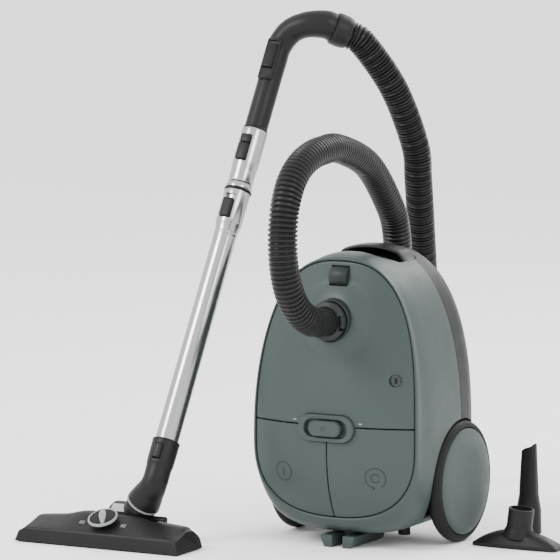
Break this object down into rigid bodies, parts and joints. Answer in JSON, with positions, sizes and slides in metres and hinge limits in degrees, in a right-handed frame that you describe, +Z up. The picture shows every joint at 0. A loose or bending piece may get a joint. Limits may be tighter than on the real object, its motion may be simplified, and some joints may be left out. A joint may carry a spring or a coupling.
{
  "type": "canister vacuum cleaner",
  "caption": "Bagged canister vacuum cleaner parked on end, with ribbed hose, telescopic wand, floor nozzle and loose hand tools.",
  "frame": {"origin": "on the floor, on the flat end of the parking bracket under the middle of the machine as it stands parked on its rear end", "axes": "+Z up; -Y towards the lid, which faces forwards; +X to the machine's right as seen from the front; X = 0 is the machine's plane of symmetry"},
  "size_m": [0.727, 0.7167, 0.7491],
  "materials": {
    "sage_plastic": "satin",
    "dark_sage_plastic": "satin",
    "charcoal_plastic": "satin",
    "black_plastic": "matte",
    "flexible_hose": "satin",
    "tyre_rubber": "matte",
    "bright_tube": "polished",
    "steel": "satin",
    "silver_plastic": "satin",
    "white_plastic": "satin",
    "bag_fleece": "matte",
    "filter_fleece": "matte",
    "circuit_green": "satin",
    "brush_bristle": "matte",
    "indicator_lens": "gloss"
  },
  "bodies": {
    "cleaner": {"upper_casing": "sage_plastic", "lower_casing": "charcoal_plastic", "carry_handle": "charcoal_plastic", "parking_bracket": "sage_plastic", "lid_seal": "tyre_rubber", "slider_bezel": "dark_sage_plastic", "bulkhead": "charcoal_plastic", "motor_filter": "filter_fleece", "bag_holder": "white_plastic", "dust_bag": "bag_fleece", "motor_casing": "steel", "motor_mount": "tyre_rubber", "exhaust_filter": "filter_fleece", "exhaust_grille": "charcoal_plastic", "reel_axle": "steel", "circuit_board": "circuit_green", "power_switch": "black_plastic", "suction_control": "black_plastic", "cord_outlet": "black_plastic", "wheel_axle_left": "steel", "wheel_axle_right": "steel", "hose": "flexible_hose", "lower_tube": "bright_tube", "tube_lock": "black_plastic", "nozzle_cuff": "charcoal_plastic"},
    "lid": {"dust_lid": "sage_plastic", "inlet_collar": "dark_sage_plastic", "bag_indicator": "indicator_lens"},
    "latch": {"lid_latch": "charcoal_plastic"},
    "hose_plug": {"hose_cuff": "charcoal_plastic"},
    "hose_release": {"cuff_button": "charcoal_plastic"},
    "power_pedal": {"power_pedal": "sage_plastic"},
    "rewind_pedal": {"rewind_pedal": "sage_plastic"},
    "suction_slider": {"power_slider": "sage_plastic"},
    "left_wheel": {"wheel_left": "tyre_rubber", "hub_cap_left": "sage_plastic"},
    "right_wheel": {"wheel_right": "tyre_rubber", "hub_cap_right": "sage_plastic"},
    "caster_fork": {"caster_fork": "charcoal_plastic"},
    "caster_wheel": {"caster_wheel": "tyre_rubber"},
    "motor_rotor": {"motor_shaft": "steel", "impeller": "silver_plastic"},
    "cord_reel": {"reel_drum": "white_plastic"},
    "upper_wand": {"upper_tube": "bright_tube", "handle_grip": "charcoal_plastic"},
    "air_valve": {"air_regulator": "black_plastic"},
    "handle_button": {"handle_lock": "charcoal_plastic"},
    "hose_swivel": {"handle_swivel": "charcoal_plastic"},
    "tube_button": {"telescope_button": "charcoal_plastic"},
    "nozzle_button": {"cuff_latch": "charcoal_plastic"},
    "nozzle_joint": {"nozzle_drum": "charcoal_plastic", "drum_ring": "silver_plastic"},
    "nozzle_head": {"head_cover": "charcoal_plastic", "sole_plate": "black_plastic"},
    "surface_selector": {"selector_knob": "charcoal_plastic"},
    "brush": {"brush_strip": "brush_bristle"},
    "left_roller": {"nozzle_roller_left": "tyre_rubber"},
    "right_roller": {"nozzle_roller_right": "tyre_rubber"},
    "upholstery_tool": {"upholstery_nozzle": "charcoal_plastic"},
    "crevice_tool": {"crevice_tool": "charcoal_plastic"}
  },
  "joints": [
    {"name": "lid_hinge", "type": "hinge", "parent": "cleaner", "child": "lid", "pos_m": [0, -0.1156, 0.18], "axis": [1, 0, 0], "range_deg": [0, 65], "deforming": ["hose"]},
    {"name": "latch_press", "type": "slide", "parent": "lid", "child": "latch", "axis": [0, 1, 0], "range_m": [0, 0.0025], "stiffness_N_per_m": 800},
    {"name": "hose_plug_turn", "type": "hinge", "parent": "lid", "child": "hose_plug", "pos_m": [0, -0.11, 0.33], "axis": [0, 1, 0], "continuous": true},
    {"name": "hose_release_press", "type": "slide", "parent": "hose_plug", "child": "hose_release", "axis": [-1, 0, 0], "range_m": [0, 0.002], "stiffness_N_per_m": 800},
    {"name": "power_pedal_press", "type": "hinge", "parent": "cleaner", "child": "power_pedal", "pos_m": [-0.06, -0.1, 0.05], "axis": [-1, 0, 0], "range_deg": [0, 2.2], "stiffness_Nm_per_rad": 12},
    {"name": "rewind_pedal_press", "type": "hinge", "parent": "cleaner", "child": "rewind_pedal", "pos_m": [0.06, -0.1, 0.05], "axis": [-1, 0, 0], "range_deg": [0, 2.2], "stiffness_Nm_per_rad": 12},
    {"name": "suction_slide", "type": "slide", "parent": "cleaner", "child": "suction_slider", "axis": [1, 0, 0], "range_m": [-0.008, 0.008]},
    {"name": "left_wheel_spin", "type": "hinge", "parent": "cleaner", "child": "left_wheel", "pos_m": [-0.125, 0.05, 0.088], "axis": [1, 0, 0], "continuous": true},
    {"name": "right_wheel_spin", "type": "hinge", "parent": "cleaner", "child": "right_wheel", "pos_m": [0.125, 0.05, 0.088], "axis": [1, 0, 0], "continuous": true},
    {"name": "caster_swivel", "type": "hinge", "parent": "cleaner", "child": "caster_fork", "pos_m": [0, 0.086, 0.335], "axis": [0, 1, 0], "continuous": true},
    {"name": "caster_spin", "type": "hinge", "parent": "caster_fork", "child": "caster_wheel", "pos_m": [0, 0.119, 0.347], "axis": [1, 0, 0], "continuous": true},
    {"name": "motor_spin", "type": "hinge", "parent": "cleaner", "child": "motor_rotor", "pos_m": [-0.04, 0.02, 0.1], "axis": [0, 0, 1], "continuous": true},
    {"name": "reel_spin", "type": "hinge", "parent": "cleaner", "child": "cord_reel", "pos_m": [0.063, 0.02, 0.095], "axis": [1, 0, 0], "continuous": true},
    {"name": "telescope", "type": "slide", "parent": "cleaner", "child": "upper_wand", "axis": [0.041, 0.4711, 0.8811], "range_m": [0, 0.3], "deforming": ["hose"]},
    {"name": "air_valve_slide", "type": "slide", "parent": "upper_wand", "child": "air_valve", "axis": [-0.041, -0.4711, -0.8811], "range_m": [0, 0.012]},
    {"name": "handle_button_press", "type": "slide", "parent": "upper_wand", "child": "handle_button", "axis": [-0.0219, 0.8821, -0.4706], "range_m": [0, 0.0015], "stiffness_N_per_m": 800},
    {"name": "hose_swivel_turn", "type": "hinge", "parent": "upper_wand", "child": "hose_swivel", "pos_m": [-0.1395, 0.169, 0.725], "axis": [0.7379, 0.5529, -0.387], "continuous": true},
    {"name": "tube_button_slide", "type": "slide", "parent": "cleaner", "child": "tube_button", "axis": [0.041, 0.4711, 0.8811], "range_m": [0, 0.008], "stiffness_N_per_m": 300},
    {"name": "nozzle_button_press", "type": "slide", "parent": "cleaner", "child": "nozzle_button", "axis": [-0.0219, 0.8821, -0.4706], "range_m": [0, 0.0011], "stiffness_N_per_m": 800},
    {"name": "nozzle_swivel", "type": "hinge", "parent": "cleaner", "child": "nozzle_joint", "pos_m": [-0.278, -0.18, 0.035], "axis": [0.579, -0.1485, 0.8017], "range_deg": [-45, 45]},
    {"name": "nozzle_tilt", "type": "hinge", "parent": "nozzle_joint", "child": "nozzle_head", "pos_m": [-0.278, -0.18, 0.035], "axis": [1, 0, 0], "range_deg": [-11.5, 60]},
    {"name": "selector_turn", "type": "hinge", "parent": "nozzle_head", "child": "surface_selector", "pos_m": [-0.3, -0.231, 0.039], "axis": [0, -0.4202, 0.9074], "range_deg": [0, 90]},
    {"name": "brush_lower", "type": "slide", "parent": "nozzle_head", "child": "brush", "axis": [0, 0, -1], "range_m": [0, 0.0075]},
    {"name": "left_roller_spin", "type": "hinge", "parent": "nozzle_head", "child": "left_roller", "pos_m": [-0.324, -0.1928, 0.006], "axis": [1, 0, 0], "continuous": true},
    {"name": "right_roller_spin", "type": "hinge", "parent": "nozzle_head", "child": "right_roller", "pos_m": [-0.232, -0.1928, 0.006], "axis": [1, 0, 0], "continuous": true},
    {"name": "upholstery_tool_lift", "type": "slide", "parent": "cleaner", "child": "upholstery_tool", "axis": [0, 0, 1], "range_m": [0, 0.1]},
    {"name": "crevice_tool_lift", "type": "slide", "parent": "cleaner", "child": "crevice_tool", "axis": [0, 0, 1], "range_m": [0, 0.1]}
  ],
  "couplings": [
    {"joint": "selector_turn", "follows": "brush_lower", "rad_per_m": 209.44}
  ]
}
